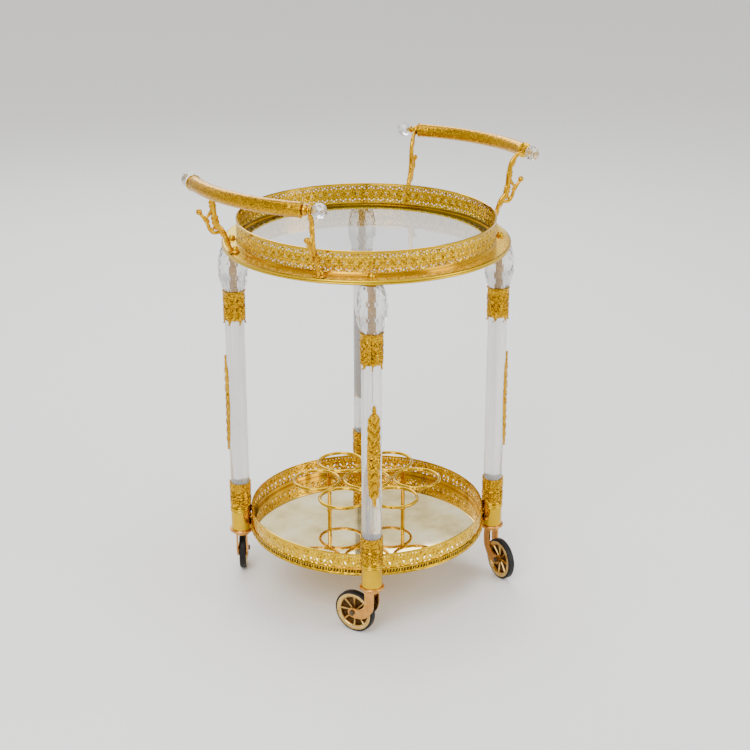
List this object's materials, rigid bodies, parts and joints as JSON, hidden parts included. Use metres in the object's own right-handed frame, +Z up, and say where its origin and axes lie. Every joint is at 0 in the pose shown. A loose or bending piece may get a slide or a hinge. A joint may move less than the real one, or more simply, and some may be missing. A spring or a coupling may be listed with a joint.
{
  "type": "bar cart",
  "caption": "Round two-tier bar cart with a glass top in a pierced gallery, a mirrored lower tray with a bottle rack, clear columns, bar handles and swivel casters.",
  "frame": {"origin": "on the floor under the middle of the cart", "axes": "+Z up, +X and -X towards the two handles"},
  "size_m": [0.635, 0.5, 0.7895],
  "materials": {
    "polished_gold": "polished gold plating",
    "cast_gold": "bright gold plating on cast and pierced ornament",
    "copper_gold": "satin rose gold plating",
    "antique_gold": "satin antique gold plating",
    "steel": "plain turned steel",
    "crystal": "clear cut crystal",
    "acrylic": "clear polished acrylic",
    "clear_glass": "clear tempered glass",
    "mirror": "silvered mirror",
    "tyre": "black rubber"
  },
  "bodies": {
    "cart": {"leg_socket_front_left": "polished_gold", "leg_socket_front_right": "polished_gold", "leg_socket_rear_right": "polished_gold", "leg_socket_rear_left": "polished_gold", "lower_ferrule_front_left": "cast_gold", "lower_ferrule_front_right": "cast_gold", "lower_ferrule_rear_right": "cast_gold", "lower_ferrule_rear_left": "cast_gold", "leg_column_front_left": "acrylic", "leg_column_front_right": "acrylic", "leg_column_rear_right": "acrylic", "leg_column_rear_left": "acrylic", "upper_ferrule_front_left": "cast_gold", "upper_ferrule_front_right": "cast_gold", "upper_ferrule_rear_right": "cast_gold", "upper_ferrule_rear_left": "cast_gold", "crystal_egg_front_left": "crystal", "crystal_egg_front_right": "crystal", "crystal_egg_rear_right": "crystal", "crystal_egg_rear_left": "crystal", "handle_bar_left": "polished_gold", "handle_bar_right": "polished_gold", "handle_brackets_left": "cast_gold", "handle_brackets_right": "cast_gold", "top_rim": "polished_gold", "top_glass": "clear_glass", "top_gallery": "cast_gold", "egg_studs": "polished_gold", "leg_nuts": "polished_gold", "column_dowels": "steel", "caster_stems": "copper_gold", "column_appliques": "cast_gold", "lower_tray": "polished_gold", "lower_gallery": "cast_gold", "lower_mirror": "mirror", "tray_screws": "polished_gold", "rack_rings": "polished_gold", "rack_ties": "polished_gold", "rack_posts": "polished_gold", "handle_collars": "polished_gold", "handle_rods": "steel", "crystal_knobs": "crystal", "bracket_bolts": "polished_gold"},
    "fork_front_left": {"caster_fork_front_left": "copper_gold", "caster_axle_front_left": "steel"},
    "wheel_front_left": {"caster_wheel_front_left": "antique_gold", "caster_tyre_front_left": "tyre"},
    "fork_front_right": {"caster_fork_front_right": "copper_gold", "caster_axle_front_right": "steel"},
    "wheel_front_right": {"caster_wheel_front_right": "antique_gold", "caster_tyre_front_right": "tyre"},
    "fork_rear_right": {"caster_fork_rear_right": "copper_gold", "caster_axle_rear_right": "steel"},
    "wheel_rear_right": {"caster_wheel_rear_right": "antique_gold", "caster_tyre_rear_right": "tyre"},
    "fork_rear_left": {"caster_fork_rear_left": "copper_gold", "caster_axle_rear_left": "steel"},
    "wheel_rear_left": {"caster_wheel_rear_left": "antique_gold", "caster_tyre_rear_left": "tyre"}
  },
  "joints": [
    {"name": "swivel_front_left", "type": "hinge", "parent": "cart", "child": "fork_front_left", "pos_m": [-0.16405, -0.16405, 0.0895], "axis": [0, 0, 1], "continuous": true},
    {"name": "spin_front_left", "type": "hinge", "parent": "fork_front_left", "child": "wheel_front_left", "pos_m": [-0.17054, -0.13067, 0.038], "axis": [-0.9816, -0.1908, 0], "continuous": true},
    {"name": "swivel_front_right", "type": "hinge", "parent": "cart", "child": "fork_front_right", "pos_m": [0.16405, -0.16405, 0.0895], "axis": [0, 0, 1], "continuous": true},
    {"name": "spin_front_right", "type": "hinge", "parent": "fork_front_right", "child": "wheel_front_right", "pos_m": [0.15354, -0.19639, 0.038], "axis": [0.9511, -0.309, 0], "continuous": true},
    {"name": "swivel_rear_right", "type": "hinge", "parent": "cart", "child": "fork_rear_right", "pos_m": [0.16405, 0.16405, 0.0895], "axis": [0, 0, 1], "continuous": true},
    {"name": "spin_rear_right", "type": "hinge", "parent": "fork_rear_right", "child": "wheel_rear_right", "pos_m": [0.19349, 0.14705, 0.038], "axis": [0.5, 0.866, 0], "continuous": true},
    {"name": "swivel_rear_left", "type": "hinge", "parent": "cart", "child": "fork_rear_left", "pos_m": [-0.16405, 0.16405, 0.0895], "axis": [0, 0, 1], "continuous": true},
    {"name": "spin_rear_left", "type": "hinge", "parent": "fork_rear_left", "child": "wheel_rear_left", "pos_m": [-0.14001, 0.18809, 0.038], "axis": [-0.7071, 0.7071, 0], "continuous": true}
  ]
}
